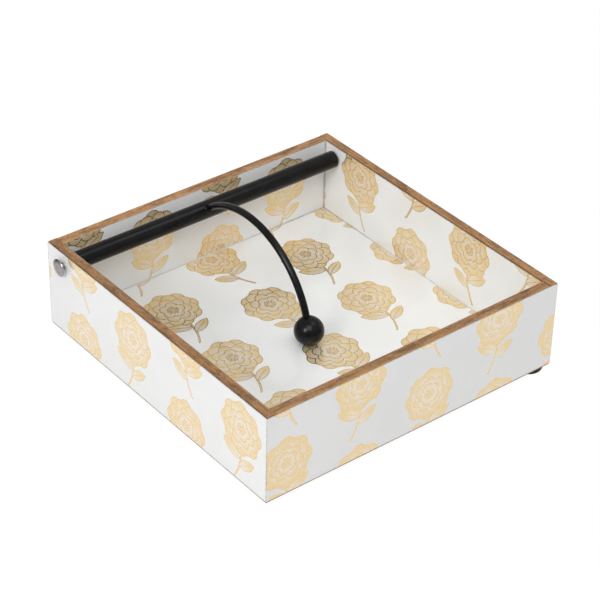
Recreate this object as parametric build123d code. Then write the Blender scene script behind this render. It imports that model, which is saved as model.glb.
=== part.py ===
from build123d import *
import math
import os

# A square, open napkin tray. A wire arm with a ball swings on a rod near the back wall
# and holds the napkins down. Millimetres, +Z up, +X along the rod, back wall at +Y.
# The origin is below the middle of the tray, on the surface that the feet stand on.

# Tray, measured over the printed sheets
tray_width = 190.5
tray_depth = 190.5
wall_height = 52.5
board_thickness = 5.5
base_thickness = 6.6
rim_rounding = 0.5

# Printed sheets, which stop short of the rim and of the bottom edge
sheet_thickness = 0.3
rim_reveal = 0.6
bottom_reveal = 0.8

# Stick-on feet: three stand well in, the front right one sits right at the corner
foot_diameter = 16.0
foot_height = 2.5
foot_chamfer = 0.5
foot_inset = 16.0
corner_foot_inset = 8.2

# Rod and the pins that it turns on, whose heads stand a little off the walls
rod_diameter = 10.0
rod_chamfer = 0.9
rod_end_gap = 0.3
pivot_from_back = 14.25
pivot_below_rim = 8.3
pin_shank_diameter = 4.0
pin_grip = 12.0
pin_tip_chamfer = 0.6
pin_head_diameter = 10.0
pin_head_height = 1.9
pin_head_edge = 0.4
pin_head_gap = 2.5
running_clearance = 0.1

# Arm and ball
wire_diameter = 4.0
arm_offset = -2.0
arm_rise_angle = 39.5
arm_drop_angle = 71.0
wire_past_rod_axis = 2.4
wire_past_ball_centre = 2.5
wire_end_chamfer = 0.4
ball_diameter = 16.5
ball_floor_gap = 0.25
set_clearance = 0.03

# Flat-wire brads that hold the box together, hidden by the sheets
brad_width = 1.25
brad_thickness = 1.05
brad_head_width = 2.0
brad_head_thickness = 0.7
brad_tip = 2.0
brad_clearance = 0.03
corner_brad_length = 22.0
base_brad_length = 18.0
corner_brad_height_shares = (0.27, 0.72)
base_brad_run_shares = (-0.34, 0.0, 0.34)

# One overrun serves every cut that has to pass a face
overrun = 1.0

# Places that follow from the sizes above
half_width = tray_width / 2
half_depth = tray_depth / 2
box_x = half_width - sheet_thickness
box_y = half_depth - sheet_thickness
inner_x = box_x - board_thickness
inner_y = box_y - board_thickness
bay_x = inner_x - sheet_thickness
bay_y = inner_y - sheet_thickness
bottom_z = foot_height
base_top_z = bottom_z + base_thickness
floor_z = base_top_z + sheet_thickness
rim_z = bottom_z + wall_height
sheet_top_z = rim_z - rim_reveal
sheet_bottom_z = bottom_z + bottom_reveal
pivot_y = half_depth - pivot_from_back
pivot_z = rim_z - pivot_below_rim
ball_z = floor_z + ball_floor_gap + ball_diameter / 2
sides = (-1, 1)


def slab(low, high):
    """A square-edged block between two opposite corners."""
    sizes = [b - a for a, b in zip(low, high)]
    centre = [(a + b) / 2 for a, b in zip(low, high)]
    return Pos(*centre) * Box(*sizes)


def x_cylinder(diameter, start, end, y, z):
    """A round bar along X."""
    bar = Rot(0, 90, 0) * Cylinder(diameter / 2, end - start)
    return Pos((start + end) / 2, y, z) * bar


def brad(length, allowance):
    """A brad along +X with its head's face at the origin, grown by an allowance for its hole."""
    wire = brad_width / 2 + allowance
    head = brad_head_width / 2 + allowance
    under_head = brad_head_thickness + allowance
    tip = length - brad_tip + allowance
    outline = Polyline(
        (0, -head), (under_head, -head), (under_head, -wire), (tip, -wire), (length + allowance, 0),
        (tip, wire), (under_head, wire), (under_head, head), (0, head), close=True,
    )
    return extrude(make_face(outline), brad_thickness / 2 + allowance, both=True)


def corner_brad_places():
    """Through the side boards into the ends of the front and back boards."""
    y = box_y - board_thickness / 2
    places = []
    for side in sides:
        for end in sides:
            for share in corner_brad_height_shares:
                turn = Rot(0, 0, 180) if side > 0 else Rot(0, 0, 0)
                places.append(Pos(side * box_x, end * y, bottom_z + share * wall_height) * turn)
    return places


def base_brad_places():
    """Through all four boards into the edges of the base board."""
    z = bottom_z + base_thickness / 2
    places = []
    for side in sides:
        for share in base_brad_run_shares:
            turn = Rot(0, 0, 180) if side > 0 else Rot(0, 0, 0)
            places.append(Pos(side * box_x, share * tray_depth, z) * turn)
            places.append(Pos(share * tray_width, side * box_y, z) * Rot(0, 0, -90 * side))
    return places


def corner_brads(allowance=0):
    return [place * brad(corner_brad_length, allowance) for place in corner_brad_places()]


def base_brads(allowance=0):
    return [place * brad(base_brad_length, allowance) for place in base_brad_places()]


def brad_holes():
    return corner_brads(brad_clearance) + base_brads(brad_clearance)


def pivot_hole():
    """One hole through both side walls and their sheets, with room for the pins to turn."""
    reach = half_width + overrun
    bore = pin_shank_diameter + running_clearance * 2
    return x_cylinder(bore, -reach, reach, pivot_y, pivot_z)


def board(low, high, run):
    """A wall board with its two long rim edges eased."""
    blank = slab(low, high)
    rim_edges = blank.faces().sort_by(Axis.Z)[-1].edges().filter_by(run)
    return fillet(rim_edges, rim_rounding)


def side_wall(side):
    """A side board runs the whole depth of the box and carries one pivot pin."""
    xs = sorted((side * inner_x, side * box_x))
    blank = board((xs[0], -box_y, bottom_z), (xs[1], box_y, rim_z), Axis.Y)
    return blank - pivot_hole() - brad_holes()


def end_wall(end):
    """The front or back board stands between the side boards."""
    ys = sorted((end * inner_y, end * box_y))
    blank = board((-inner_x, ys[0], bottom_z), (inner_x, ys[1], rim_z), Axis.X)
    return blank - brad_holes()


def base_board():
    blank = slab((-inner_x, -inner_y, bottom_z), (inner_x, inner_y, base_top_z))
    return blank - brad_holes()


def outer_side_sheet(side):
    xs = sorted((side * box_x, side * half_width))
    sheet = slab((xs[0], -box_y, sheet_bottom_z), (xs[1], box_y, sheet_top_z))
    return sheet - pivot_hole()


def outer_end_sheet(end):
    """The front and back sheets lap the edges of the side sheets."""
    ys = sorted((end * box_y, end * half_depth))
    return slab((-half_width, ys[0], sheet_bottom_z), (half_width, ys[1], sheet_top_z))


def inner_side_sheet(side):
    xs = sorted((side * bay_x, side * inner_x))
    sheet = slab((xs[0], -bay_y, floor_z), (xs[1], bay_y, sheet_top_z))
    return sheet - pivot_hole()


def inner_end_sheet(end):
    ys = sorted((end * bay_y, end * inner_y))
    return slab((-inner_x, ys[0], floor_z), (inner_x, ys[1], sheet_top_z))


def floor_sheet():
    return slab((-inner_x, -inner_y, base_top_z), (inner_x, inner_y, floor_z))


def foot(x, y):
    """A low round rubber pad, chamfered below."""
    rim = foot_diameter / 2
    outline = Polyline(
        (0, 0), (rim - foot_chamfer, 0), (rim, foot_chamfer), (rim, foot_height), (0, foot_height),
        close=True,
    )
    return Pos(x, y, 0) * revolve(Plane.XZ * make_face(outline), Axis.Z)


def pivot_pin(side):
    """A round-headed pin: the shank turns in the side wall and is fast in the rod's end."""
    shank_length = pin_grip + rod_end_gap + (half_width - bay_x) + pin_head_gap
    dome_rise = pin_head_height - pin_head_edge
    head = pin_head_diameter / 2
    shank = pin_shank_diameter / 2
    dome_radius = (head**2 + dome_rise**2) / (2 * dome_rise)
    half_sweep = math.asin(head / dome_radius) / 2
    mid_rise = pin_head_height - dome_radius * (1 - math.cos(half_sweep))
    dome = ThreePointArc(
        (pin_head_edge, head), (mid_rise, dome_radius * math.sin(half_sweep)), (pin_head_height, 0)
    )
    rest = Polyline(
        (pin_head_height, 0), (-shank_length, 0), (-shank_length, shank - pin_tip_chamfer),
        (pin_tip_chamfer - shank_length, shank), (0, shank), (0, head), (pin_head_edge, head),
    )
    pin = revolve(make_face(Curve() + [dome, rest]), Axis.X)
    turn = Rot(0, 0, 0) if side > 0 else Rot(0, 0, 180)
    return Pos(side * (half_width + pin_head_gap), pivot_y, pivot_z) * turn * pin


def pivot_rod():
    """A plain round rod, drilled along its axis at both ends and across it for the arm."""
    reach = bay_x - rod_end_gap
    rod = x_cylinder(rod_diameter, -reach, reach, pivot_y, pivot_z)
    rod = chamfer(rod.edges().filter_by(GeomType.CIRCLE), rod_chamfer)
    bore = pin_shank_diameter + set_clearance * 2
    depth = pin_grip + set_clearance
    for side in sides:
        ends = sorted((side * (reach - depth), side * (reach + overrun)))
        rod -= x_cylinder(bore, ends[0], ends[1], pivot_y, pivot_z)
    return rod - arm_socket()


def arm_plane():
    """The upright plane of the arm, with its origin on the rod's axis and its X to the front."""
    return Plane(origin=(arm_offset, pivot_y, pivot_z), x_dir=(0, -1, 0), z_dir=(-1, 0, 0))


def arm_socket():
    """The cross hole in the rod, which stops just past the rod's axis."""
    depth = rod_diameter / 2 + overrun + wire_past_rod_axis + set_clearance
    middle = rod_diameter / 2 + overrun - depth / 2
    hole = Cylinder(wire_diameter / 2 + set_clearance, depth)
    along = Rot(0, 90, 0) * Pos(0, 0, middle) * hole
    return arm_plane().location * Rot(0, 0, arm_rise_angle) * along


def heading(angle):
    """A unit step in the arm's plane, at an angle above the horizontal."""
    return Vector(math.cos(math.radians(angle)), math.sin(math.radians(angle)))


def arm_bend_radius():
    """The bend that sets the ball on the floor when the arm is down."""
    rise, drop = heading(arm_rise_angle), heading(-arm_drop_angle)
    straight_rise = rise.Y * rod_diameter / 2 + drop.Y * ball_diameter / 2
    return (pivot_z - ball_z + straight_rise) / (rise.X - drop.X)


def arm_path():
    """Straight out of the rod, one long bend, and straight into the ball."""
    rise, drop = heading(arm_rise_angle), heading(-arm_drop_angle)
    leave = rise * (rod_diameter / 2)
    root = Line(rise * -wire_past_rod_axis, leave)
    turn = -(arm_rise_angle + arm_drop_angle)
    bend = JernArc(start=leave, tangent=rise, radius=arm_bend_radius(), arc_size=turn)
    tail = Line(bend @ 1, bend @ 1 + drop * (ball_diameter / 2 + wire_past_ball_centre))
    return Curve() + [root, bend, tail]


def weight_arm():
    path = arm_plane() * arm_path()
    section = Plane(origin=path @ 0, z_dir=path % 0) * Circle(wire_diameter / 2)
    wire = sweep(section, path=path)
    return chamfer(wire.edges().filter_by(GeomType.CIRCLE).sort_by(Axis.Y)[-1], wire_end_chamfer)


def weight_ball():
    """A solid ball, turned about the wire and drilled to just past its centre."""
    radius = ball_diameter / 2
    hole = wire_diameter / 2 + set_clearance
    mouth = math.sqrt(radius**2 - hole**2)
    bottom = wire_past_ball_centre + set_clearance
    skin = ThreePointArc((-mouth, hole), (0, radius), (radius, 0))
    drill = Polyline((radius, 0), (bottom, 0), (bottom, hole), (-mouth, hole))
    ball = revolve(make_face(Curve() + [skin, drill]), Axis.X)
    centre = arm_path() @ 1 - heading(-arm_drop_angle) * wire_past_ball_centre
    return arm_plane().location * Pos(centre.X, centre.Y, 0) * Rot(0, 0, -arm_drop_angle) * ball


def all_parts():
    far_x, far_y = half_width - foot_inset, half_depth - foot_inset
    corner_x, corner_y = half_width - corner_foot_inset, half_depth - corner_foot_inset
    return {
        "left_wall": side_wall(-1),
        "right_wall": side_wall(1),
        "front_wall": end_wall(-1),
        "back_wall": end_wall(1),
        "base_board": base_board(),
        "left_outer_sheet": outer_side_sheet(-1),
        "right_outer_sheet": outer_side_sheet(1),
        "front_outer_sheet": outer_end_sheet(-1),
        "back_outer_sheet": outer_end_sheet(1),
        "left_inner_sheet": inner_side_sheet(-1),
        "right_inner_sheet": inner_side_sheet(1),
        "front_inner_sheet": inner_end_sheet(-1),
        "back_inner_sheet": inner_end_sheet(1),
        "floor_sheet": floor_sheet(),
        "corner_brads": Compound(children=corner_brads()),
        "base_brads": Compound(children=base_brads()),
        "front_left_foot": foot(-far_x, -far_y),
        "front_right_foot": foot(corner_x, -corner_y),
        "back_left_foot": foot(-far_x, far_y),
        "back_right_foot": foot(far_x, far_y),
        "pivot_rod": pivot_rod(),
        "left_pivot_pin": pivot_pin(-1),
        "right_pivot_pin": pivot_pin(1),
        "weight_arm": weight_arm(),
        "weight_ball": weight_ball(),
    }


os.makedirs("parts", exist_ok=True)
for name, shape in all_parts().items():
    export_step(shape, f"parts/{name}.step")
print("arm bend radius", round(arm_bend_radius(), 2))
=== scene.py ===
# %% [markdown]
# A square napkin tray with a swinging weight arm
#
# The tray is a box of thin wooden boards, covered inside and out with printed white sheets. A bent
# wire with a ball on its end swings on a rod near the back wall and keeps the napkins down.
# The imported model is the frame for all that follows. Boards and sheets are flat, so they keep their own
# meshes and only get a finish, while the turned and bent pieces are modelled again with rounder edges.
# Sizes on the tray are written in millimetres, and mm turns them into Blender's metres.

# %% Load the frame
import math

import bmesh
import bpy
from mathutils import Matrix, Vector


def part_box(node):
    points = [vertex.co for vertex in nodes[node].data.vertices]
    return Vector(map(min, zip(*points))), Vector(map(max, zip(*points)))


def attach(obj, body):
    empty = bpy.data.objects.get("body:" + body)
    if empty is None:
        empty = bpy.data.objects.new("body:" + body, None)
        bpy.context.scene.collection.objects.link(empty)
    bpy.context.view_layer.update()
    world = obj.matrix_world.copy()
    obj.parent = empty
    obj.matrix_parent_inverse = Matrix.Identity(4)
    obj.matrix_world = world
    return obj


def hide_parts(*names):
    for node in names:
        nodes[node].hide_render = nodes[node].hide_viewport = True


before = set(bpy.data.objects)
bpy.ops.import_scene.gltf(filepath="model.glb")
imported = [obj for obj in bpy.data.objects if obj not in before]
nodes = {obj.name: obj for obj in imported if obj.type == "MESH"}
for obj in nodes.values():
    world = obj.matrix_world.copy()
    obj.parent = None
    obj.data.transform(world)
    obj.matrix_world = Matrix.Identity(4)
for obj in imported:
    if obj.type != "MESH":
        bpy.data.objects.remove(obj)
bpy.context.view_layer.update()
scene = bpy.context.scene
scene.view_settings.view_transform = "Standard"
mm = 0.001

# %% [markdown]
# Camera
#
# The photograph was taken with a long lens from in front, left of and above the tray. A camera can be
# aimed by hand until the corners meet. Here its place, turn, roll and lens were fitted by least squares
# to the straight edges of the tray, so the render lines up with the photograph and needs no shift.

# %% Camera
camera_azimuth = math.radians(-39.079)
camera_elevation = math.radians(34.875)
camera_roll = math.radians(1.339)
camera_place = Vector((-592.4, -730.1, 685.8)) * mm
camera_data = bpy.data.cameras.new("photo_camera")
camera_data.sensor_width = 36.0
camera_data.lens = 129.61
camera = bpy.data.objects.new("photo_camera", camera_data)
scene.collection.objects.link(camera)
camera.matrix_world = (
    Matrix.Translation(camera_place)
    @ Matrix.Rotation(camera_azimuth, 4, "Z")
    @ Matrix.Rotation(math.pi / 2 - camera_elevation, 4, "X")
    @ Matrix.Rotation(camera_roll, 4, "Z")
)
scene.camera = camera
print("camera stands", round(camera_place.length, 3), "m from the origin")

# %% [markdown]
# White table
#
# The tray stands on a plain white table. A white plane under strong lamps would look so too, but it would
# throw much light up at the tray. Instead, nine tenths of what the camera and the reflections see of the
# floor is an even glow. The rest is a grey surface, which keeps a faint shadow and sends up little light.

# %% Finish of the table
floor_glow_share = 0.9
floor_glow = 1.06
floor_grey = 0.55
floor_roughness = 0.9
floor_specular = 0.1


def shown_ray(tree):
    """1 for camera, glossy and transmission rays, which are those that show the floor itself."""
    path = tree.nodes.new("ShaderNodeLightPath")
    total = path.outputs["Is Camera Ray"]
    for name in ("Is Glossy Ray", "Is Transmission Ray"):
        either = tree.nodes.new("ShaderNodeMath")
        either.operation = "MAXIMUM"
        tree.links.new(total, either.inputs[0])
        tree.links.new(path.outputs[name], either.inputs[1])
        total = either.outputs[0]
    return total


def floor_material():
    material = bpy.data.materials.new("white_table")
    material.use_nodes = True
    tree = material.node_tree
    shader = tree.nodes["Principled BSDF"]
    shader.inputs["Base Color"].default_value = (floor_grey, floor_grey, floor_grey, 1)
    shader.inputs["Roughness"].default_value = floor_roughness
    shader.inputs["Specular IOR Level"].default_value = floor_specular
    glow = tree.nodes.new("ShaderNodeEmission")
    glow.inputs["Strength"].default_value = floor_glow
    share = tree.nodes.new("ShaderNodeMath")
    share.operation = "MULTIPLY"
    share.inputs[1].default_value = floor_glow_share
    tree.links.new(shown_ray(tree), share.inputs[0])
    mix = tree.nodes.new("ShaderNodeMixShader")
    tree.links.new(share.outputs[0], mix.inputs["Fac"])
    tree.links.new(shader.outputs[0], mix.inputs[1])
    tree.links.new(glow.outputs[0], mix.inputs[2])
    tree.links.new(mix.outputs[0], tree.nodes["Material Output"].inputs["Surface"])
    return material


white_table = floor_material()
print("the table is", floor_glow_share, "glow and the rest grey")

# %% Table top
floor_half = 4.0
floor_drop = 0.1 * mm
plane = bmesh.new()
bmesh.ops.create_grid(plane, x_segments=1, y_segments=1, size=floor_half)
bmesh.ops.translate(plane, verts=plane.verts, vec=(0, 0, -floor_drop))
floor_mesh = bpy.data.meshes.new("floor")
plane.to_mesh(floor_mesh)
plane.free()
floor_mesh.materials.append(white_table)
floor = bpy.data.objects.new("floor", floor_mesh)
scene.collection.objects.link(floor)
print("floor of", 2 * floor_half, "m")

# %% [markdown]
# Studio light
#
# Small goods are photographed in a pale room under large soft lamps. The room could be walls that bounce
# the light, but an even grey sky is quicker and has no corners to reflect. A lamp from the left lights
# the left side, a wider one high in front fills the inside, and a weak one from the right lays a soft
# streak along the black rod. The levels were set until white paper on the walls and the floor came out
# about as light as in the photograph.

# %% Sky and lamps
sky_strength = 0.59


def studio_sky():
    world = bpy.data.worlds.new("studio_sky")
    world.use_nodes = True
    background = world.node_tree.nodes["Background"]
    background.inputs["Color"].default_value = (1, 1, 1, 1)
    background.inputs["Strength"].default_value = sky_strength
    return world


def soft_lamp(name, towards, distance, size, power):
    """A square area lamp in that direction from the tray, facing it."""
    data = bpy.data.lights.new(name, "AREA")
    data.shape = "SQUARE"
    data.size = size
    data.energy = power
    lamp = bpy.data.objects.new(name, data)
    direction = Vector(towards).normalized()
    lamp.location = direction * distance
    lamp.rotation_mode = "QUATERNION"
    lamp.rotation_quaternion = direction.to_track_quat("Z", "Y")
    scene.collection.objects.link(lamp)


scene.world = studio_sky()
soft_lamp("left_lamp", (-0.81, -0.21, 0.54), distance=1.3, size=0.4, power=5.5)
soft_lamp("top_lamp", (-0.35, -0.45, 0.82), distance=1.5, size=0.9, power=7.8)
soft_lamp("right_lamp", (0.39, -0.20, 0.90), distance=1.4, size=0.6, power=1.7)
print("sky of", sky_strength, "and", len(bpy.data.lights), "lamps")

# %% [markdown]
# Finishes as arithmetic
#
# A print or a grain needs dozens of Math nodes, which are hard to read as a list of links. They could be
# drawn by hand in the shader editor. Here a small class stands for a number at each point of a surface:
# adding or multiplying two of them adds the node, so a finish reads like a sum.

# %% A number at each point
class Field:
    """A number at each point of a surface, held by a socket of a node tree."""

    def __init__(self, tree, socket):
        self.tree = tree
        self.socket = socket

    def calc(self, operation, *others):
        node = self.tree.nodes.new("ShaderNodeMath")
        node.operation = operation
        for socket, value in zip(node.inputs, (self, *others)):
            plug(self.tree, socket, value)
        return Field(self.tree, node.outputs[0])

    def __add__(self, other):
        return self.calc("ADD", other)

    def __sub__(self, other):
        return self.calc("SUBTRACT", other)

    def __mul__(self, other):
        return self.calc("MULTIPLY", other)

    def __truediv__(self, other):
        return self.calc("DIVIDE", other)

    def __rsub__(self, other):
        return self.calc("MULTIPLY_ADD", -1, other)

    def __abs__(self):
        return self.calc("ABSOLUTE")

    __radd__ = __add__


def plug(tree, socket, value):
    """Links a field or a socket to a socket, or sets it to a plain value."""
    if isinstance(value, Field):
        tree.links.new(value.socket, socket)
    elif isinstance(value, bpy.types.NodeSocket):
        tree.links.new(value, socket)
    else:
        socket.default_value = value


print("sums of fields add Math nodes to a tree")

# %% Soft steps and single axes
def rise(field, low, high):
    """0 below low, 1 above high and a smooth rise between; with low above high it falls."""
    node = field.tree.nodes.new("ShaderNodeMapRange")
    node.interpolation_type = "SMOOTHSTEP"
    plug(field.tree, node.inputs["Value"], field)
    node.inputs["From Min"].default_value = low
    node.inputs["From Max"].default_value = high
    return Field(field.tree, node.outputs[0])


def axes(tree, vector):
    """The three fields along X, Y and Z of a vector."""
    node = tree.nodes.new("ShaderNodeSeparateXYZ")
    plug(tree, node.inputs[0], vector)
    return [Field(tree, socket) for socket in node.outputs]


print("a rise turns a field into a mask from 0 to 1")

# %% [markdown]
# Textures in millimetres
#
# Grain, foil and dust have real sizes, so each texture here is measured in millimetres on the piece. A UV
# map could carry them, but the boards and sheets have none. Object coordinates give the place on a piece in
# metres, and they move with it when the arm swings.

# %% Places and noise
def place_mm(tree):
    """The place on the piece, in millimetres."""
    place = tree.nodes.new("ShaderNodeTexCoord")
    scale = tree.nodes.new("ShaderNodeVectorMath")
    scale.operation = "SCALE"
    tree.links.new(place.outputs["Object"], scale.inputs[0])
    scale.inputs["Scale"].default_value = 1 / mm
    return scale.outputs[0]


def noise(tree, place, size, detail=2.0, roughness=0.5, warp=0.0):
    """Cloudy noise from 0 to 1, with clouds of one size in millimetres or of a size along each axis."""
    stretch = tree.nodes.new("ShaderNodeVectorMath")
    stretch.operation = "DIVIDE"
    plug(tree, stretch.inputs[0], place)
    stretch.inputs[1].default_value = size if isinstance(size, tuple) else (size, size, size)
    texture = tree.nodes.new("ShaderNodeTexNoise")
    tree.links.new(stretch.outputs[0], texture.inputs["Vector"])
    texture.inputs["Scale"].default_value = 1.0
    texture.inputs["Detail"].default_value = detail
    texture.inputs["Roughness"].default_value = roughness
    texture.inputs["Distortion"].default_value = warp
    return Field(tree, texture.outputs["Fac"])


print("one unit of a texture is", mm, "m")

# %% Colours, relief and a new material
def mixed(tree, share, first, second):
    """The first colour where share is 0 and the second where it is 1."""
    node = tree.nodes.new("ShaderNodeMix")
    node.data_type = "RGBA"
    plug(tree, node.inputs[0], share)
    for socket, colour in zip((node.inputs[6], node.inputs[7]), (first, second)):
        plug(tree, socket, (*colour, 1) if isinstance(colour, tuple) else colour)
    return node.outputs[2]


def relief(tree, height, depth):
    """A bump in which a step of 1 in the height field stands for that depth in millimetres."""
    node = tree.nodes.new("ShaderNodeBump")
    node.inputs["Strength"].default_value = 1.0
    node.inputs["Distance"].default_value = depth * mm
    plug(tree, node.inputs["Height"], height)
    return node.outputs[0]


def start_material(name, **plain):
    """A new material, with the shader's plain values set by socket name."""
    material = bpy.data.materials.new(name)
    material.use_nodes = True
    tree = material.node_tree
    shader = tree.nodes["Principled BSDF"]
    for socket, value in plain.items():
        shader.inputs[socket.replace("_", " ")].default_value = value
    return material, tree, shader


print("materials so far, with those of the frame:", len(bpy.data.materials))

# %% [markdown]
# Varnished wood
#
# The boards are brown hardwood, sanded and varnished, and only their rim and bottom edges show. A picture
# of wood would repeat and would need turning for each board. Here long streaks, short flecks, pale chips
# and dark pores are the same noise, stretched along each board's run by different amounts. The distance
# from a board's two long faces drives an uneven line along its edges: a dark line is partly stain and partly
# painted shade, and a pale one is partly wear and partly a painted highlight on the rounded edge.

# %% Tones and grain
wood_light = (0.50, 0.275, 0.118)
wood_mid = (0.250, 0.118, 0.040)
wood_red = (0.400, 0.170, 0.055)
wood_dark = (0.070, 0.031, 0.012)
wood_wear_and_highlight = (0.520, 0.400, 0.280)
wood_pale = (0.500, 0.295, 0.125)
# sizes along and across the run, in millimetres
streak_size = (22.0, 1.6)
fleck_size = (4.5, 1.1)
patch_size = (13.0, 7.0)
shade_size = (8.0, 2.6)
chip_size = (1.8, 0.9)
pore_size = (2.6, 0.36)
grain_depth = 0.06


def along_run(run, size):
    """Grain sizes along X, Y and Z for a board that runs along X or Y."""
    along, across = size
    return (along, across, across) if run == "X" else (across, along, across)


print("streaks are about", streak_size[0], "mm long and pores", pore_size[0], "mm")

# %% Finish of a board
streak_share = 0.45
fleck_share = 0.45
patch_share = 0.35
tone_band = (0.52, 0.73)
pore_band = (0.60, 0.72)
pore_share = 0.6
wood_roughness = 0.42
fleck_roughness = 0.18
pore_roughness = 0.15
edge_width = 0.9
edge_wander = 1.6
board_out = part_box("right_wall")[1].x / mm
board_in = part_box("right_wall")[0].x / mm


def rim_wood(name, run, depth, outer_edge, inner_edge):
    """The finish of a board that runs along X or Y, with its depth of colour and a tone at each edge."""
    material, tree, shader = start_material(
        name, Coat_Weight=0.1, Coat_Roughness=0.25, Specular_IOR_Level=0.35
    )
    # depth scales every tone of a board: partly its own tone, partly painted light and shade
    tones = (wood_light, wood_mid, wood_red, wood_dark)
    light, middle, red, dark = (tuple(depth * c for c in tone) for tone in tones)
    place = place_mm(tree)
    x, y, _ = axes(tree, place)
    streaks = noise(tree, place, along_run(run, streak_size), detail=3.0, warp=0.8)
    flecks = noise(tree, place, along_run(run, fleck_size), detail=3.0, roughness=0.65, warp=0.5)
    patches = noise(tree, place, along_run(run, patch_size), warp=0.6)
    shades = noise(tree, place, along_run(run, shade_size), detail=3.0, warp=0.7)
    chips = noise(tree, place, along_run(run, chip_size), roughness=0.6)
    pores = rise(noise(tree, place, along_run(run, pore_size), detail=1.0), *pore_band)
    tone = rise(streaks * streak_share + flecks * fleck_share + patches * patch_share, *tone_band)
    colour = mixed(tree, tone, middle, light)
    layers = (
        # noise, the band over which its tone comes in, the most of it, tone
        (patches, (0.50, 0.66), 0.55, red),
        (shades, (0.50, 0.68), 0.45, dark),
        (chips, (0.58, 0.72), 0.50, wood_wear_and_highlight),
        (flecks, (0.53, 0.70), 0.60, dark),
    )
    for texture, band, share, layer_tone in layers:
        colour = mixed(tree, rise(texture, *band) * share, colour, layer_tone)
    colour = mixed(tree, pores * pore_share, colour, dark)
    off_middle = abs(y) if run == "X" else abs(x)
    uneven = (flecks - 0.5) * edge_wander
    # dark edge tones are partly stain and partly painted shade, pale ones partly wear and partly painted
    # highlight
    for inwards, (edge_tone, share) in (
        (board_out - off_middle, outer_edge),
        (off_middle - board_in, inner_edge),
    ):
        near = 1 - rise(inwards + uneven, 0.0, edge_width)
        colour = mixed(tree, near * share, colour, edge_tone)
    roughness = wood_roughness + flecks * fleck_roughness + pores * pore_roughness
    plug(tree, shader.inputs["Base Color"], colour)
    plug(tree, shader.inputs["Roughness"], roughness)
    plug(tree, shader.inputs["Normal"], relief(tree, flecks - pores, grain_depth))
    return material


print("walls lie from", round(board_in, 2), "to", round(board_out, 2), "mm off the middle")

# %% Boards
def give_material(node, material):
    """Puts one material on a node of the frame."""
    nodes[node].data.materials.clear()
    nodes[node].data.materials.append(material)


boards = {
    # node: run, depth of colour, partly the board's own tone and partly painted light and shade, then the
    # tone and share at the outer and the inner edge
    "left_wall": ("Y", 0.80, (wood_dark, 0.6), (wood_wear_and_highlight, 0.3)),
    "right_wall": ("Y", 1.00, (wood_dark, 0.6), (wood_dark, 0.7)),
    "front_wall": ("X", 0.82, (wood_pale, 0.4), (wood_pale, 0.4)),
    "back_wall": ("X", 1.05, (wood_wear_and_highlight, 0.3), (wood_wear_and_highlight, 0.2)),
    "base_board": ("X", 1.00, (wood_dark, 0.2), (wood_dark, 0.2)),
}
for name, finish in boards.items():
    give_material(name, rim_wood(name + "_wood", *finish))
print(len(boards), "boards varnished")

# %% [markdown]
# Foil print
#
# Each sheet is white paper, printed with gold foil and sealed under a clear gloss coat. The design is a
# plain garden one: a round blossom of layered petals on a short bent stem with two leaves. It could be a
# picture, but a drawing made of distances stays sharp from near by. Each shape is a distance in millimetres,
# negative inside, and its outline is the band where that distance is small.

# %% Shapes of the print
ink_edge = 0.16
least_slope = 0.001
petal_taper_share = 0.2


def ink(distance):
    """1 inside a shape and 0 outside, with a narrow soft edge."""
    return rise(distance, ink_edge / 2, -ink_edge / 2)


def hypot(first, second):
    """The long side of a right triangle with these two sides."""
    return (first * first + second * second).calc("SQRT")


def oval(x, y, half_length, half_width):
    """The distance to an oval, close enough for its outline to keep one width."""
    near = hypot(x / half_length, y / half_width)
    slope = hypot(x / half_length**2, y / half_width**2)
    return (near - 1) * near / (slope + least_slope)


def petal(radius, angle, count, middle, half_length, half_width, turn):
    """The nearest petal of a ring: its distance, and the place along and across it."""
    share = 2 * math.pi / count
    bent = (angle + turn).calc("WRAP", share / 2, -share / 2)
    along = radius * bent.calc("COSINE") - middle
    across = radius * bent.calc("SINE") / (along * (petal_taper_share / half_length) + 1)
    return oval(along, across, half_length, half_width), along, across


def leaf(x, y, base, tilt, length, half_width):
    """A pointed leaf between two arcs: its distance, and the place along and across it."""
    half = length / 2
    bulge = (half**2 + half_width**2) / (2 * half_width)
    step_x, step_y = math.cos(tilt), math.sin(tilt)
    along = (x - base[0]) * step_x + (y - base[1]) * step_y - half
    across = (y - base[1]) * step_x - (x - base[0]) * step_y
    return hypot(along, abs(across) + (bulge - half_width)) - bulge, along, across


print("shapes have soft edges of", ink_edge, "mm")

# %% [markdown]
# Shapes laid over each other
#
# Petals overlap, and the upper one hides the outlines of the lower. Layers in the shader could do that, with
# a mix for each. Here one object keeps the gold, the lines and the tone of all that is laid so far,
# and each new shape wipes the lines under it before it adds its own.

# %% Lay shapes on
outline_width = 0.5


def most(first, second):
    """The larger of two fields at each point."""
    return first.calc("MAXIMUM", second)


class Print:
    """Gold, line and tone of all the shapes laid on so far."""

    def __init__(self, ground):
        self.gold = ground
        self.line = ground
        self.tone = ground

    def lay(self, distance, tone, vein=None):
        inside = ink(distance)
        line = ink(abs(distance) - outline_width / 2)
        if vein is not None:
            line = most(line, ink(vein) * inside)
        self.line = most(self.line * (1 - inside), line)
        self.gold = most(self.gold, most(inside, line))
        self.tone = self.tone + (tone - self.tone) * inside


print("outlines are", outline_width, "mm wide")

# %% [markdown]
# The repeat
#
# A printed sheet repeats one block. A plain grid of blocks looks stiff, so this is a half-drop repeat: every
# second column is dropped by half a block and mirrored. The sprig is drawn once in a node group, and each
# sheet asks the group for its own place, so the nine sheets share one drawing.

# %% One repeat
repeat_width = 46.0
repeat_height = 54.0


def repeat_place(u, v):
    """The place within one repeat, with every second column dropped by half and mirrored."""
    column = (u / repeat_width).calc("FLOOR")
    odd = column.calc("FLOORED_MODULO", 2.0)
    dropped = v + odd * (repeat_height / 2)
    row = (dropped / repeat_height).calc("FLOOR")
    x = (u - (column + 0.5) * repeat_width) * (1 - odd * 2)
    y = dropped - (row + 0.5) * repeat_height
    return x, y


print("one repeat is", repeat_width, "by", repeat_height, "mm")

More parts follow.
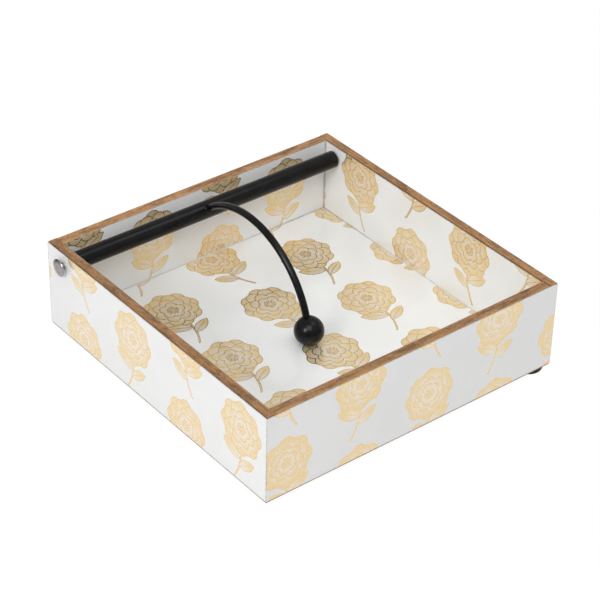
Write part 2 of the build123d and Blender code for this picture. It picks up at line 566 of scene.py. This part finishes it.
# %% The sprig
blossom_rise = 7.0
petal_rings = (
    # petals, middle, half length, half width, turn
    (8, 10.2, 5.8, 4.5, 0.00),
    (8, 8.9, 5.6, 4.2, 0.39),
    (7, 6.2, 4.6, 3.5, 0.15),
    (5, 3.8, 3.4, 2.9, 0.60),
)
petal_base_share = 0.1
petal_tip_share = 1.05
heart_radius = 1.5
heart_tone = 0.9
stamens = 9
stamen_ring = 2.7
stamen_radius = 0.5
stamen_tone = 1.0
stem_top = -8.0
stem_foot = -26.0
stem_sway = 0.018
stem_half = 0.45
stem_tone = 0.6
vein_width = 0.42
leaves = (
    # base, tilt in degrees, length, half width
    ((0.5, -12.5), 28.0, 15.5, 3.3),
    ((1.8, -17.0), 150.0, 14.0, 3.0),
)
leaf_vein_share = 0.32


def draw_sprig(x, y):
    """Stem, leaves, petals from the outer ring inwards, stamens and heart, laid on bare paper."""
    made = Print(x * 0.0)
    bent = x - (y - stem_top) * (y - stem_top) * stem_sway
    made.lay(most(most(abs(bent) - stem_half, y - stem_top), stem_foot - y), stem_tone)
    for base, tilt, length, half_width in leaves:
        distance, along, across = leaf(x, y, base, math.radians(tilt), length, half_width)
        vein = most(abs(across) - vein_width / 2, along - length * leaf_vein_share)
        made.lay(distance, rise(along, -length / 2, length / 2), vein)
    up = y - blossom_rise
    radius = hypot(x, up)
    angle = up.calc("ARCTAN2", x)
    for count, middle, half_length, half_width, turn in petal_rings:
        distance, along, across = petal(radius, angle, count, middle, half_length, half_width, turn)
        base = half_length * petal_base_share
        vein = most(abs(across) - vein_width / 2, along - base)
        made.lay(distance, rise(along, -base, half_length * petal_tip_share), vein)
    dots, _, _ = petal(radius, angle, stamens, stamen_ring, stamen_radius, stamen_radius, 0.0)
    made.lay(dots, stamen_tone)
    made.lay(radius - heart_radius, heart_tone)
    return made


print("a blossom has", sum(ring[0] for ring in petal_rings), "petals")

# %% The print as a node group
def print_group():
    """A node group from a place on a sheet, in millimetres, to gold, line and tone."""
    tree = bpy.data.node_groups.new("foil_print", "ShaderNodeTree")
    tree.interface.new_socket("Place", in_out="INPUT", socket_type="NodeSocketVector")
    for name in ("Gold", "Line", "Tone"):
        tree.interface.new_socket(name, in_out="OUTPUT", socket_type="NodeSocketFloat")
    start = tree.nodes.new("NodeGroupInput")
    end = tree.nodes.new("NodeGroupOutput")
    u, v, _ = axes(tree, start.outputs["Place"])
    made = draw_sprig(*repeat_place(u, v))
    for name, field in (("Gold", made.gold), ("Line", made.line), ("Tone", made.tone)):
        tree.links.new(field.socket, end.inputs[name])
    return tree


foil_print = print_group()
print("the print has", len(foil_print.nodes), "nodes")

# %% [markdown]
# Paper, foil and clear coat
#
# On the real sheet the foil lies almost flush with the paper under one poured coat. Two shaders could be
# mixed by a mask, but one Principled shader holds both: the gold drives its colour, metal and roughness, and
# its own coat layer is the clear gloss. A grey line follows the edges of each sheet: partly grime and dark
# joints, partly painted shade in the inner corners and under the rim. Slow waves bend the reflections,
# because a poured coat is never quite flat.

# %% Grime and painted shade along a sheet's edges
# grime and dark joints along the sheet edges, and painted shade in the inner corners and under the rim
grime_and_shade_grey = (0.20, 0.17, 0.14)
grime_and_shade_share = 0.45
grime_and_shade_width = 0.4
grime_and_shade_wander = 1.2
# the inner sheets stand on this much of the floor sheet
floor_margin = 0.3


def least(first, second):
    """The smaller of two fields at each point."""
    return first.calc("MINIMUM", second)


def grime_and_shade_mask(name, on_axes, pair, speck):
    """1 along the edges of a sheet that lies along a pair of axes, with an uneven border."""
    low, high = (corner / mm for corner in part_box(name))
    margin = floor_margin if name == "floor_sheet" else 0.0
    lows = [on_axes[axis] - (low[axis] + margin) for axis in pair]
    highs = [(high[axis] - margin) - on_axes[axis] for axis in pair]
    edge = least(least(*lows), least(*highs))
    return 1 - rise(edge + (speck - 0.5) * grime_and_shade_wander, 0.0, grime_and_shade_width)


# the grey that fades here is grime and painted shade
print("grime fades over", grime_and_shade_width, "mm, and its border wanders")

# %% Finish of a sheet
paper_white = (0.835, 0.842, 0.835)
paper_shade = tuple(0.97 * c for c in paper_white)
paper_cloud_size = 22.0
paper_cloud_band = (0.3, 0.75)
paper_speck_size = 1.1
paper_roughness = 0.5
speck_roughness = 0.06
fill_pale = (0.86, 0.78, 0.69)
fill_gold = (0.86, 0.67, 0.37)
fill_tone_share = 0.8
fill_cloud_share = 0.6
fill_band = (0.2, 1.0)
fill_metal = 0.45
fill_gloss = 0.14
line_gold = (0.82, 0.58, 0.25)
line_metal = 0.45
line_gloss = 0.12
coat_wave_size = 16.0
coat_wave_depth = 0.12
foil_lift_share = 0.05


def flat_place(tree, x, y):
    """A vector of two fields, with no height."""
    node = tree.nodes.new("ShaderNodeCombineXYZ")
    for socket, value in zip(node.inputs, (x, y)):
        plug(tree, socket, value)
    return node.outputs[0]


def printed_sheet(name, across, up, shift_across, shift_up):
    """The finish of a sheet whose print runs along two of the axes 0, 1 and 2, shifted in millimetres."""
    material, tree, shader = start_material(
        name.replace("sheet", "print"), Coat_Weight=1.0, Coat_Roughness=0.07
    )
    place = place_mm(tree)
    on_axes = axes(tree, place)
    group = tree.nodes.new("ShaderNodeGroup")
    group.node_tree = foil_print
    spot = flat_place(tree, on_axes[across] + shift_across, on_axes[up] + shift_up)
    tree.links.new(spot, group.inputs["Place"])
    gold, line, tone = [Field(tree, group.outputs[part]) for part in ("Gold", "Line", "Tone")]
    cloud = noise(tree, place, paper_cloud_size, detail=3.0)
    speck = noise(tree, place, paper_speck_size)
    foil_tone = rise(tone * fill_tone_share + cloud * fill_cloud_share, *fill_band)
    foil = mixed(tree, foil_tone, fill_pale, fill_gold)
    foil = mixed(tree, line, foil, line_gold)
    paper = mixed(tree, rise(cloud, *paper_cloud_band), paper_white, paper_shade)
    # grime, and painted shade in the inner corners and under the rim, along the sheet's edges
    grime_and_shade = grime_and_shade_mask(name, on_axes, (across, up), speck)
    colour = mixed(tree, grime_and_shade * grime_and_shade_share, mixed(tree, gold, paper, foil), grime_and_shade_grey)
    roughness = paper_roughness - gold * fill_gloss - line * line_gloss + speck * speck_roughness
    plug(tree, shader.inputs["Base Color"], colour)
    plug(tree, shader.inputs["Metallic"], gold * (fill_metal + line * line_metal) * (1 - grime_and_shade))
    plug(tree, shader.inputs["Roughness"], roughness)
    waves = noise(tree, place, coat_wave_size, detail=1.0)
    plug(tree, shader.inputs["Normal"], relief(tree, waves + gold * foil_lift_share, coat_wave_depth))
    plug(tree, shader.inputs["Coat Normal"], relief(tree, waves, coat_wave_depth))
    return material


print("foil stands", round(foil_lift_share * coat_wave_depth, 3), "mm proud of the paper")

# %% Sheets
sheet_prints = {
    # node: axis across, axis up, shift across and up in millimetres
    "left_outer_sheet": (1, 2, 6.0, -2.0),
    "right_outer_sheet": (1, 2, 25.0, 8.0),
    "front_outer_sheet": (0, 2, 14.0, 12.0),
    "back_outer_sheet": (0, 2, 3.0, 20.0),
    "left_inner_sheet": (1, 2, 30.0, 5.0),
    "right_inner_sheet": (1, 2, 11.0, 16.0),
    "front_inner_sheet": (0, 2, 20.0, 9.0),
    "back_inner_sheet": (0, 2, 9.0, 24.0),
    "floor_sheet": (0, 1, 19.0, 4.0),
}
for name, layout in sheet_prints.items():
    give_material(name, printed_sheet(name, *layout))
print(len(sheet_prints), "sheets printed")

# %% [markdown]
# Satin black
#
# The rod, arm and ball are steel under a satin black coat. A plain dark grey would look like plastic. The
# coat is nearly black, a little uneven in gloss, with a fine peel that breaks up the streaks of light and
# pale scuffs where hands and napkins have rubbed it.

# %% Black coat
coat_black = (0.002, 0.0022, 0.0026)
coat_charcoal = (0.005, 0.0052, 0.006)
coat_roughness = 0.19
gloss_cloud_size = 6.0
gloss_cloud_band = (0.35, 0.7)
gloss_cloud_roughness = 0.06
scuff_grey = (0.040, 0.039, 0.038)
scuff_size = 3.5
scuff_band = (0.62, 0.80)
scuff_share = 0.4
scuff_roughness = 0.10
peel_size = 0.8
peel_depth = 0.006


def satin_black():
    material, tree, shader = start_material("satin_black", Specular_IOR_Level=0.21)
    place = place_mm(tree)
    peel = noise(tree, place, peel_size)
    cloud = noise(tree, place, gloss_cloud_size, detail=3.0)
    scuff = rise(noise(tree, place, scuff_size, detail=3.0, roughness=0.6), *scuff_band)
    colour = mixed(tree, rise(cloud, *gloss_cloud_band), coat_black, coat_charcoal)
    roughness = coat_roughness + cloud * gloss_cloud_roughness + scuff * scuff_roughness
    plug(tree, shader.inputs["Base Color"], mixed(tree, scuff * scuff_share, colour, scuff_grey))
    plug(tree, shader.inputs["Roughness"], roughness)
    plug(tree, shader.inputs["Normal"], relief(tree, peel, peel_depth))
    return material


black = satin_black()
print("the black coat has", len(black.node_tree.nodes), "nodes")

# %% [markdown]
# Bright nickel
#
# The heads of the two pins are plated, with fine scratches, and their upper back is darkened by a painted
# reflection of something dark. A mirror with one roughness would look new. Scratches are a noise drawn out
# into thin lines, and the painted reflection follows the place on the head, measured from the pivot's axis.

# %% Nickel plate
def centre_mm(node):
    """The middle of a node's box, in millimetres."""
    low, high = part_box(node)
    return (low + high) / 2 / mm


pivot = centre_mm("pivot_rod")
nickel_dull = (0.30, 0.28, 0.27)
nickel_clear = (0.42, 0.395, 0.38)
plate_roughness = 0.17
plate_cloud_size = 2.5
plate_cloud_band = (0.3, 0.7)
plate_cloud_roughness = 0.10
scratch_size = (2.0, 4.0, 0.12)
scratch_depth = 0.004
scratch_roughness = 0.06
painted_reflection_brown = (0.045, 0.042, 0.040)
painted_reflection_share = 0.85
# the direction in which the painted dark reflection grows, and how far off the axis it starts and is full
painted_reflection_back = 0.6
painted_reflection_up = 0.8
painted_reflection_start = 2.2
painted_reflection_full = 4.4
painted_reflection_wander = 1.5


def bright_nickel():
    material, tree, shader = start_material("bright_nickel", Metallic=1.0)
    place = place_mm(tree)
    cloud = noise(tree, place, plate_cloud_size, detail=3.0)
    scratch = noise(tree, place, scratch_size)
    _, y, z = axes(tree, place)
    lean = (y - pivot.y) * painted_reflection_back + (z - pivot.z) * painted_reflection_up
    # a painted dark reflection on the upper back of each head
    painted_reflection = rise(lean + (cloud - 0.5) * painted_reflection_wander, painted_reflection_start, painted_reflection_full)
    colour = mixed(tree, rise(cloud, *plate_cloud_band), nickel_dull, nickel_clear)
    roughness = plate_roughness + cloud * plate_cloud_roughness + scratch * scratch_roughness
    plug(tree, shader.inputs["Base Color"], mixed(tree, painted_reflection * painted_reflection_share, colour, painted_reflection_brown))
    plug(tree, shader.inputs["Roughness"], roughness)
    plug(tree, shader.inputs["Normal"], relief(tree, scratch, scratch_depth))
    return material


nickel = bright_nickel()
# the painted dark reflection on each head starts this far off the axis
print("tarnish starts", painted_reflection_start, "mm off the pivot's axis")

# %% [markdown]
# Rubber and plain steel
#
# The feet are matt black rubber with a little dust, and the brads in the boards are plain steel wire. Both
# show little, and one colour each would nearly do. But real rubber and wire are uneven even where they are
# small, so each has a noise or two on its colour and roughness.

# %% Rubber and steel
rubber_black = (0.012, 0.012, 0.012)
rubber_dusty = (0.034, 0.033, 0.031)
rubber_roughness = 0.62
dust_size = 1.8
dust_band = (0.5, 0.8)
dust_roughness = 0.2
grit_size = 0.25
grit_depth = 0.02
steel_dull = (0.40, 0.39, 0.37)
steel_clear = (0.58, 0.57, 0.55)
steel_roughness = 0.3
steel_cloud_size = 1.5
steel_cloud_roughness = 0.2


def foot_rubber():
    material, tree, shader = start_material("foot_rubber", Specular_IOR_Level=0.3)
    place = place_mm(tree)
    dust = noise(tree, place, dust_size, detail=4.0)
    grit = noise(tree, place, grit_size, detail=1.0)
    colour = mixed(tree, rise(dust, *dust_band), rubber_black, rubber_dusty)
    plug(tree, shader.inputs["Base Color"], colour)
    plug(tree, shader.inputs["Roughness"], rubber_roughness + dust * dust_roughness)
    plug(tree, shader.inputs["Normal"], relief(tree, grit, grit_depth))
    return material


def brad_steel():
    material, tree, shader = start_material("brad_steel", Metallic=1.0)
    cloud = noise(tree, place_mm(tree), steel_cloud_size, detail=3.0)
    plug(tree, shader.inputs["Base Color"], mixed(tree, cloud, steel_dull, steel_clear))
    plug(tree, shader.inputs["Roughness"], steel_roughness + cloud * steel_cloud_roughness)
    return material


rubber = foot_rubber()
steel = brad_steel()
for name in ("corner_brads", "base_brads"):
    give_material(name, steel)
print("brads are finished as", steel.name)

# %% [markdown]
# Turned pieces
#
# Rod, pins, ball and feet are round, so each is a profile spun about its axis. Cylinders and spheres
# could be joined instead, but one profile holds the chamfers, the dome and the rounded rims in one skin.

# %% Spin a profile
merge_distance = 0.001 * mm


def turned(profile, steps):
    """A shape spun about X from a profile of places along the axis and radii, in millimetres."""
    shape = bmesh.new()
    verts = [shape.verts.new((along * mm, 0, radius * mm)) for along, radius in profile]
    edges = [shape.edges.new(pair) for pair in zip(verts, verts[1:])]
    bmesh.ops.spin(
        shape, geom=verts + edges, cent=(0, 0, 0), axis=(1, 0, 0), angle=2 * math.pi,
        steps=steps, use_merge=True, use_duplicate=False,
    )
    bmesh.ops.remove_doubles(shape, verts=shape.verts, dist=merge_distance)
    return shape


print("points nearer than", merge_distance / mm, "mm are merged after a spin")

# %% [markdown]
# From a shape to a piece
#
# Each finished shape becomes an object at the origin, with its place in its mesh, as the nodes of the frame
# have it.

# %% Finish a piece
sharp_angle = math.radians(38)


def finish_piece(name, shape, material, body, stands_for=()):
    """Makes an object of a bmesh, in its place, and hands it to the body that carries it."""
    bmesh.ops.recalc_face_normals(shape, faces=shape.faces)
    mesh = bpy.data.meshes.new(name)
    shape.to_mesh(mesh)
    shape.free()
    mesh.shade_smooth()
    mesh.set_sharp_from_angle(angle=sharp_angle)
    mesh.materials.append(material)
    piece = bpy.data.objects.new(name, mesh)
    scene.collection.objects.link(piece)
    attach(piece, body)
    if stands_for:
        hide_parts(*stands_for)
    print(name, "has", len(mesh.polygons), "faces")


print("edges sharper than", round(math.degrees(sharp_angle)), "degrees stay sharp")

# %% [markdown]
# Rod
#
# The rod is a round bar with a turned chamfer at each end and a bore there for the pin. A cylinder would
# have knife edges, so the profile has the chamfer and the bore, and a narrow bevel then rounds the rims that
# catch the light.

# %% Rod
rod_low, rod_high = (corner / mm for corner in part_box("pivot_rod"))
rod_radius = (rod_high.z - rod_low.z) / 2
rod_half = (rod_high.x - rod_low.x) / 2
rod_chamfer = 0.9
rod_edge = 0.25
rod_edge_steps = 3
rod_rim_angle = math.radians(20)
rod_sides = 96
pin_radius = 2.0
pin_grip = 12.0
set_gap = 0.03
bore_end = pin_grip + set_gap - rod_half
rod_profile = [
    (bore_end, 0),
    (bore_end, pin_radius + set_gap),
    (-rod_half, pin_radius + set_gap),
    (-rod_half, rod_radius - rod_chamfer),
    (rod_chamfer - rod_half, rod_radius),
]
rod_profile += [(-along, radius) for along, radius in reversed(rod_profile)]
rod = turned(rod_profile, rod_sides)
outside = [e for e in rod.edges if e.verts[0].co.yz.length > rod_radius / 2 * mm]
rims = [e for e in outside if e.calc_face_angle() > rod_rim_angle]
bmesh.ops.bevel(
    rod, geom=rims, offset=rod_edge * mm, segments=rod_edge_steps, affect="EDGES", profile=0.5, material=-1
)
bmesh.ops.translate(rod, verts=rod.verts, vec=pivot * mm)
finish_piece("rod_bar", rod, black, "swing_arm", ("pivot_rod",))

# %% [markdown]
# Pins
#
# A pin goes through each side wall into the rod and shows its domed head outside. The dome could be a scaled
# sphere on a cylinder, but an arc in the profile gives its true radius and meets the head's rounded rim.

# %% Pins
pin_tip = 0.6
pin_sides = 72
head_height = 1.9
head_edge = 0.4
head_rounding = 0.22
head_low, head_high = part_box("left_pivot_pin")
head_radius = (head_high.z - head_low.z) / 2 / mm
dome_rise = head_height - head_edge
dome_radius = (head_radius**2 + dome_rise**2) / (2 * dome_rise)
dome_sweep = math.degrees(math.asin((head_radius - head_rounding) / dome_radius))


def arc_points(centre, radius, start, end, steps):
    """Points along an arc of a profile, from a start to an end angle in degrees."""
    turns = [math.radians(start + (end - start) * i / steps) for i in range(steps + 1)]
    return [(centre[0] + radius * math.cos(t), centre[1] + radius * math.sin(t)) for t in turns]


def pin_profile(low, high):
    """From the tip to the top of the domed head, for a head that ends at high."""
    under = high - head_height
    points = [(low, 0), (low, pin_radius - pin_tip), (low + pin_tip, pin_radius), (under, pin_radius)]
    points += [(under, head_radius - head_rounding)]
    rim_centre = (under + head_rounding, head_radius - head_rounding)
    points += arc_points(rim_centre, head_rounding, 180, 90, steps=4)
    points += arc_points((high - dome_radius, 0), dome_radius, dome_sweep, 0, steps=16)
    return points


for side, node in ((-1, "left_pivot_pin"), (1, "right_pivot_pin")):
    pin_low, pin_high = (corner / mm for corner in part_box(node))
    reach = sorted((side * pin_low.x, side * pin_high.x))
    pin = turned(pin_profile(*reach), pin_sides)
    if side < 0:
        bmesh.ops.rotate(pin, verts=pin.verts, matrix=Matrix.Rotation(math.pi, 3, "Z"))
    bmesh.ops.translate(pin, verts=pin.verts, vec=Vector((0, pivot.y, pivot.z)) * mm)
    finish_piece(node.replace("pivot_pin", "pin"), pin, nickel, "swing_arm", (node,))

# %% [markdown]
# Feet
#
# Four rubber discs keep the tray off the table. Each is a short spun profile with its lower rim rounded, as
# moulded rubber is. A bevel on a cylinder would give the same, with one more step.

# %% Feet
foot_rounding = 0.6
foot_sides = 72
for node in ("front_left_foot", "front_right_foot", "back_left_foot", "back_right_foot"):
    foot_low, foot_high = (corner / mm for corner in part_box(node))
    foot_radius = (foot_high.x - foot_low.x) / 2
    foot_height = foot_high.z - foot_low.z
    profile = [(0, 0)]
    profile += arc_points((foot_rounding, foot_radius - foot_rounding), foot_rounding, 180, 90, steps=6)
    profile += [(foot_height, foot_radius), (foot_height, 0)]
    foot = turned(profile, foot_sides)
    bmesh.ops.rotate(foot, verts=foot.verts, matrix=Matrix.Rotation(-math.pi / 2, 3, "Y"))
    foot_place = Vector((foot_low.x + foot_radius, foot_low.y + foot_radius, foot_low.z))
    bmesh.ops.translate(foot, verts=foot.verts, vec=foot_place * mm)
    finish_piece(node.replace("_foot", "_pad"), foot, rubber, "tray", (node,))

# %% [markdown]
# Arm
#
# The arm is a wire bent once. A curve with a bevel would do, but the real wire is drawn straight and bent
# on a former, and the same moves make the mesh: a circle is pulled out of the rod, spun about the bend's
# centre and pulled on into the ball.

# %% Places along the arm
wire_radius = 2.0
rise_angle = math.radians(39.5)
drop_angle = math.radians(71.0)
arm_x = centre_mm("weight_arm").x
ball_low, ball_high = (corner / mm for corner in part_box("weight_ball"))
ball_middle = (ball_low + ball_high) / 2
ball_radius = (ball_high.x - ball_low.x) / 2
out_of_rod = Vector((0, -math.cos(rise_angle), math.sin(rise_angle)))
into_ball = Vector((0, -math.cos(drop_angle), -math.sin(drop_angle)))
arm_start = Vector((arm_x, pivot.y, pivot.z))
bend_start = arm_start + out_of_rod * rod_radius
bend_end = ball_middle - into_ball * ball_radius
bend_radius = (bend_start.y - bend_end.y) / (math.sin(rise_angle) + math.sin(drop_angle))
bend_centre = bend_start + Vector((0, -math.sin(rise_angle), -math.cos(rise_angle))) * bend_radius
print("bent to a radius of", round(bend_radius, 2), "mm")

# %% Bend the arm
wire_sides = 40
bend_steps = 72


def frame_along(direction):
    """A turn that takes Z to a direction in the arm's plane and keeps X."""
    x = Vector((1, 0, 0))
    return Matrix((x, direction.cross(x), direction)).transposed()


def pulled(shape, edges, step):
    """Pulls a ring of edges out by a step in millimetres and returns the ring at its end."""
    made = bmesh.ops.extrude_edge_only(shape, edges=edges)["geom"]
    verts = [item for item in made if isinstance(item, bmesh.types.BMVert)]
    bmesh.ops.translate(shape, verts=verts, vec=step * mm)
    return [e for e in made if isinstance(e, bmesh.types.BMEdge) and all(v in verts for v in e.verts)]


arm = bmesh.new()
circle = bmesh.ops.create_circle(arm, segments=wire_sides, radius=wire_radius * mm)["verts"]
bmesh.ops.rotate(arm, verts=circle, matrix=frame_along(out_of_rod))
bmesh.ops.translate(arm, verts=circle, vec=arm_start * mm)
ring = pulled(arm, arm.edges[:], out_of_rod * rod_radius)
ring_verts = list({vert for edge in ring for vert in edge.verts})
bent = bmesh.ops.spin(
    arm, geom=ring_verts + ring, cent=bend_centre * mm, axis=(1, 0, 0),
    angle=rise_angle + drop_angle, steps=bend_steps,
)["geom_last"]
ring = [item for item in bent if isinstance(item, bmesh.types.BMEdge)]
pulled(arm, ring, into_ball * ball_radius)
bmesh.ops.remove_doubles(arm, verts=arm.verts, dist=merge_distance)
bmesh.ops.holes_fill(arm, edges=arm.edges[:])
finish_piece("bent_wire", arm, black, "swing_arm", ("weight_arm",))

# %% [markdown]
# Ball
#
# The weight is a turned ball, drilled for the wire, with a shallow mouth round the hole. A sphere with the
# wire pushed through it would show no mouth. The profile goes from the bottom of the hole, out over the
# mouth and round the ball, and the spun ball is then turned to the direction of the wire.

# %% Ball
mouth_depth = 0.35
mouth_lip = 0.4
mouth_gap = 0.15
wire_past_centre = 2.5
ball_sides = 96
mouth_turn = math.degrees(math.asin((wire_radius + mouth_lip) / ball_radius))
mouth_floor = mouth_depth - math.cos(math.radians(mouth_turn)) * ball_radius
ball_profile = [
    (wire_past_centre + set_gap, 0),
    (wire_past_centre + set_gap, wire_radius + set_gap),
    (mouth_floor, wire_radius + set_gap),
    (mouth_floor, wire_radius + mouth_gap),
]
ball_profile += arc_points((0, 0), ball_radius, 180 - mouth_turn, 0, steps=48)
ball = turned(ball_profile, ball_sides)
bmesh.ops.rotate(ball, verts=ball.verts, matrix=Matrix.Rotation(-math.pi / 2, 3, "Y"))
bmesh.ops.rotate(ball, verts=ball.verts, matrix=frame_along(into_ball))
bmesh.ops.translate(ball, verts=ball.verts, vec=ball_middle * mm)
finish_piece("ball_weight", ball, black, "swing_arm", ("weight_ball",))

# %% [markdown]
# Paint at the arm's root
#
# Thick paint gathers in a soft lip where the wire enters the rod. A torus would float off the round bar, so
# each ring of the lip is a circle that is dropped on to the rod's curve, and the rings are bridged.

# %% Paint gathered at the root
paint_sides = 48
paint_rings = (
    # spread beyond the wire, lift above the rod
    (-0.02, -0.05), (0.80, -0.05), (0.55, 0.20), (0.34, 0.26), (0.14, 0.16), (0.04, 0.30), (-0.02, 0.55),
)
paint = bmesh.new()
loops = []
for spread, lift in paint_rings:
    made = bmesh.ops.create_circle(paint, segments=paint_sides, radius=wire_radius + spread)["verts"]
    for vert in made:
        vert.co.z = math.sqrt(rod_radius**2 - vert.co.y**2) + lift
    loops.append({edge for vert in made for edge in vert.link_edges})
for first, second in zip(loops, loops[1:] + loops[:1]):
    bmesh.ops.bridge_loops(paint, edges=list(first | second))
bmesh.ops.rotate(paint, verts=paint.verts, matrix=frame_along(out_of_rod))
bmesh.ops.translate(paint, verts=paint.verts, vec=arm_start)
bmesh.ops.scale(paint, verts=paint.verts, vec=(mm, mm, mm))
finish_piece("root_paint", paint, black, "swing_arm")

# %% [markdown]
# Resin in the inner corners
#
# The clear coat is poured on and wiped off, and a little of it stays in the inner corners as a hollow cove.
# Its colour is painted shade, darker up the corners and near the back right corner than along the floor,
# with the resin's own straw tint. A bevel on the sheets would change the sheets themselves, so each cove is
# a strip
# of its own: a three-sided section with one hollow side, filled as a face and extruded along its corner.

# %% Inside of the tray
bay_low = Vector((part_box("left_inner_sheet")[1].x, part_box("front_inner_sheet")[1].y, 0)) / mm
bay_high = Vector((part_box("right_inner_sheet")[0].x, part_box("back_inner_sheet")[0].y, 0)) / mm
bay_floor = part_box("floor_sheet")[1].z / mm
bay_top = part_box("left_inner_sheet")[1].z / mm
span = bay_high - bay_low
print("the inside is", round(span.x, 1), "by", round(span.y, 1), "by", round(bay_top - bay_floor, 1), "mm")

# %% Finish of the resin
# every cove tone is darker than the paper: painted shade in the inner corners, with the resin's straw tint
floor_edge_shade_grey = (0.56, 0.55, 0.555)
floor_edge_shade_pale = (0.72, 0.70, 0.68)
corner_shade_grey = (0.40, 0.38, 0.35)
corner_shade_straw = (0.58, 0.53, 0.45)
corner_shade_band = (0.4, 0.65)
resin_cloud_size = 5.0
resin_roughness = 0.18
bead_size = 2.2
bead_depth = 0.15
bead_roughness = 0.2
# heights above the floor between which a cove counts as upright
upright_start = 1
upright_full = 3
# sums of X and Y between which the darker painted shade of the back right corner begins
back_right_start = 115.0
back_right_full = 165.0


def resin():
    material, tree, shader = start_material("corner_resin", Coat_Weight=1.0, Coat_Roughness=0.05)
    place = place_mm(tree)
    x, y, z = axes(tree, place)
    cloud = noise(tree, place, resin_cloud_size, detail=3.0)
    beads = noise(tree, place, bead_size)
    upright = rise(z, bay_floor + upright_start, bay_floor + upright_full)
    near_back_right = rise(x + y, back_right_start, back_right_full)
    # paler painted shade along the floor, darker up the corners and near the back right corner
    thin = mixed(tree, cloud, floor_edge_shade_grey, floor_edge_shade_pale)
    corner_shade = mixed(tree, rise(cloud, *corner_shade_band), corner_shade_grey, corner_shade_straw)
    plug(tree, shader.inputs["Base Color"], mixed(tree, most(upright, near_back_right), thin, corner_shade))
    plug(tree, shader.inputs["Roughness"], resin_roughness + beads * bead_roughness)
    plug(tree, shader.inputs["Normal"], relief(tree, beads, bead_depth))
    return material


corner_resin = resin()
print("the resin has", len(corner_resin.node_tree.nodes), "nodes")

# %% Coves
upright_cove = 0.8
floor_cove = 0.5
cove_steps = 6
coves = bmesh.new()


def add_cove(corner, run, first, second, size):
    """A strip from a corner along a run, hollow between two directions away from the corner."""
    section = [corner]
    for step in range(cove_steps + 1):
        turn = math.pi / 2 * step / cove_steps
        section.append(corner + (first * (1 - math.sin(turn)) + second * (1 - math.cos(turn))) * size)
    face = coves.faces.new([coves.verts.new(point * mm) for point in section])
    grown = bmesh.ops.extrude_face_region(coves, geom=[face])["geom"]
    moved = [item for item in grown if isinstance(item, bmesh.types.BMVert)]
    bmesh.ops.translate(coves, verts=moved, vec=run * mm)


up = Vector((0, 0, 1))
for side, inwards in ((bay_low.x, 1), (bay_high.x, -1)):
    along_x = Vector((inwards, 0, 0))
    add_cove(Vector((side, bay_low.y, bay_floor)), Vector((0, span.y, 0)), along_x, up, floor_cove)
    for end, back in ((bay_low.y, 1), (bay_high.y, -1)):
        height = up * (bay_top - bay_floor)
        add_cove(Vector((side, end, bay_floor)), height, along_x, Vector((0, back, 0)), upright_cove)
for end, inwards in ((bay_low.y, 1), (bay_high.y, -1)):
    start = Vector((bay_low.x, end, bay_floor))
    add_cove(start, Vector((span.x, 0, 0)), Vector((0, inwards, 0)), up, floor_cove)
finish_piece("corner_resin", coves, corner_resin, "tray")
